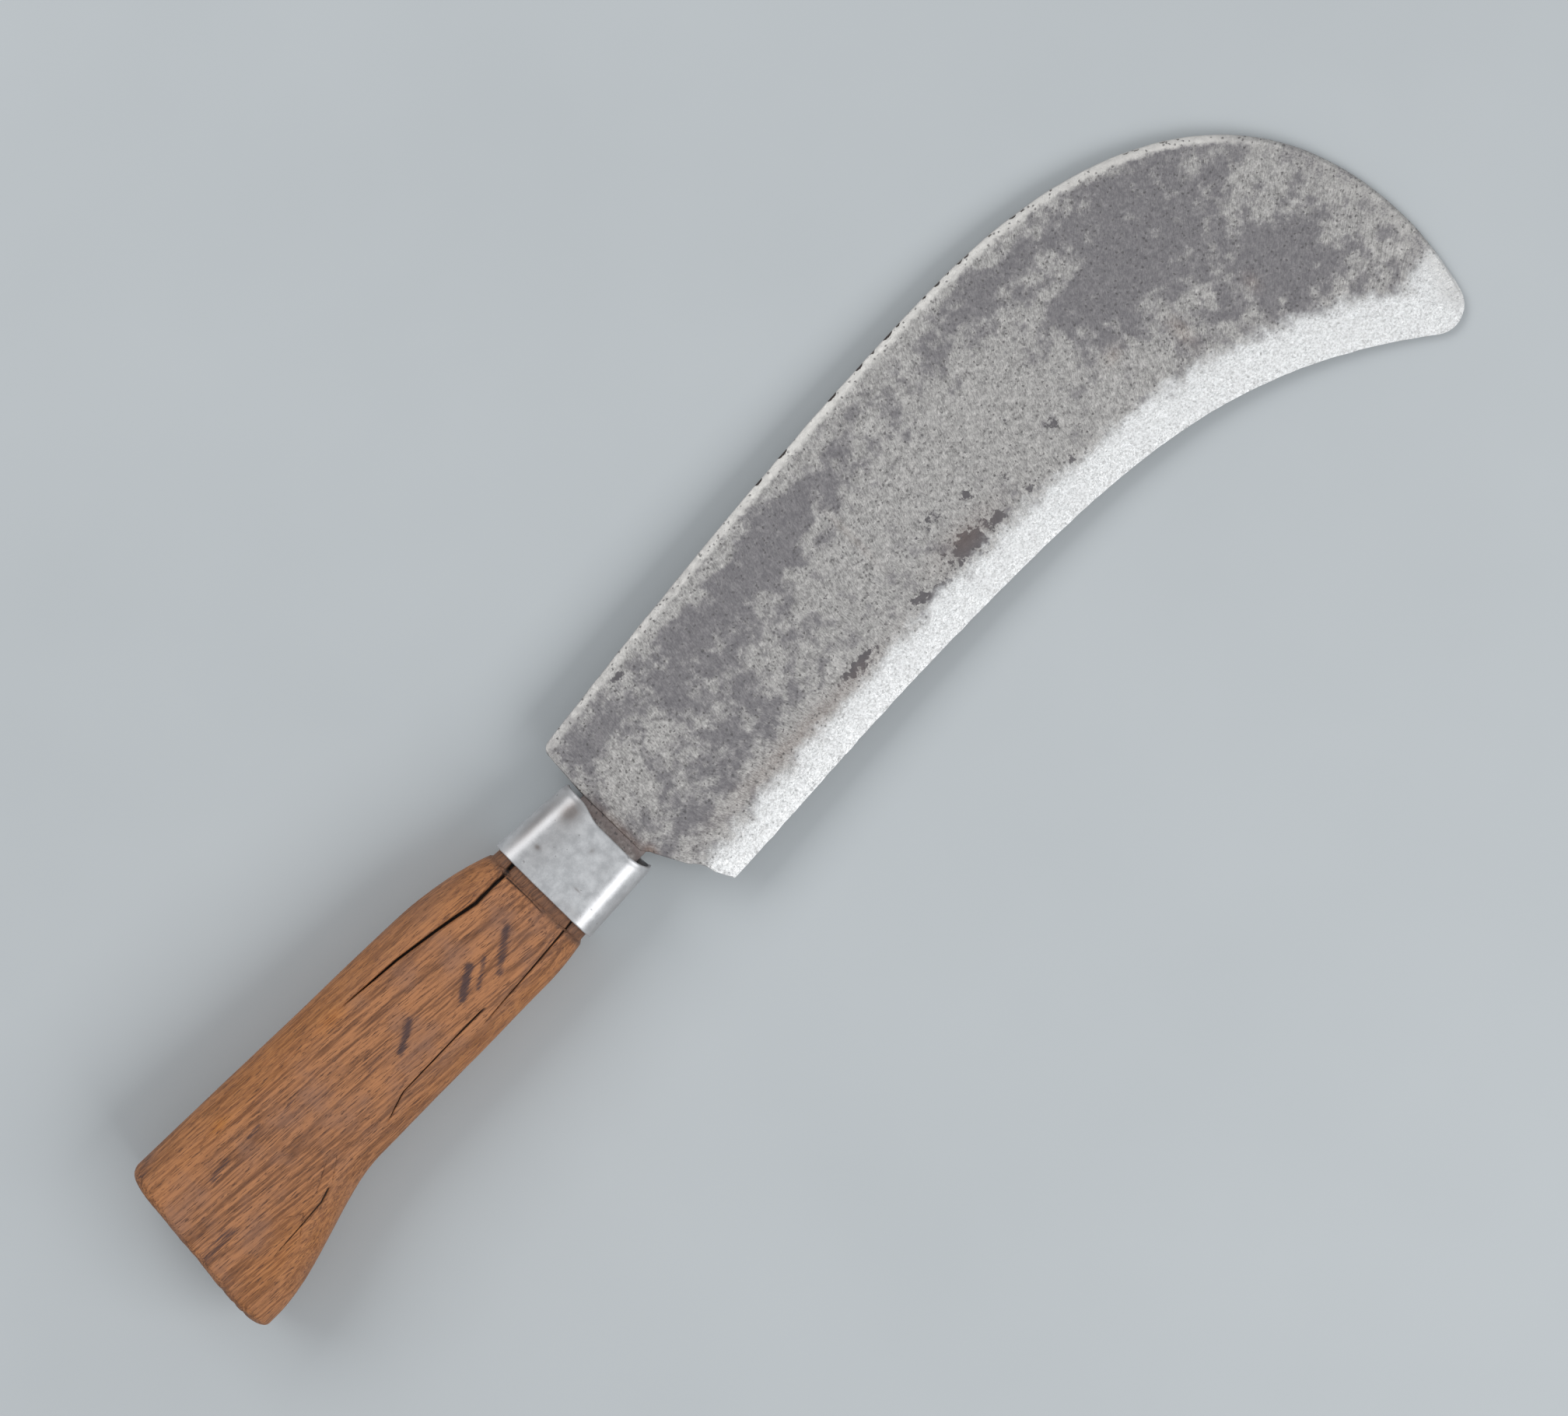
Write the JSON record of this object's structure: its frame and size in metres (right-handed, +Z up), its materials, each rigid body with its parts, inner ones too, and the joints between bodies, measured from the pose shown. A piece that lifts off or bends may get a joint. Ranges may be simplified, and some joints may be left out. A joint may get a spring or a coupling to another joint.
{
  "type": "billhook",
  "caption": "Billhook with a broad hooked cutting blade, a through tang, a tapered steel ferrule and a wooden fishtail handle.",
  "frame": {"origin": "middle of the tool's bounding box, on the surface that the flat cheek of the handle lies on", "axes": "+X from the butt towards the nose of the blade, +Y towards the spine of the blade, +Z up, square to the blade's face"},
  "size_m": [0.4341, 0.1088, 0.027],
  "materials": {
    "blade_steel": "forged tool steel with dark mottled patina, bright worn spine chamfer and bright cutting bevel",
    "ferrule_steel": "satin sheet steel, lightly stained",
    "handle_wood": "hand-worn oiled hardwood with cracks and dark stains",
    "washer_iron": "dark oxidised wrought iron"
  },
  "bodies": {
    "root": {"blade": "blade_steel", "ferrule": "ferrule_steel", "handle": "handle_wood", "tang_washer": "washer_iron"}
  },
  "joints": []
}
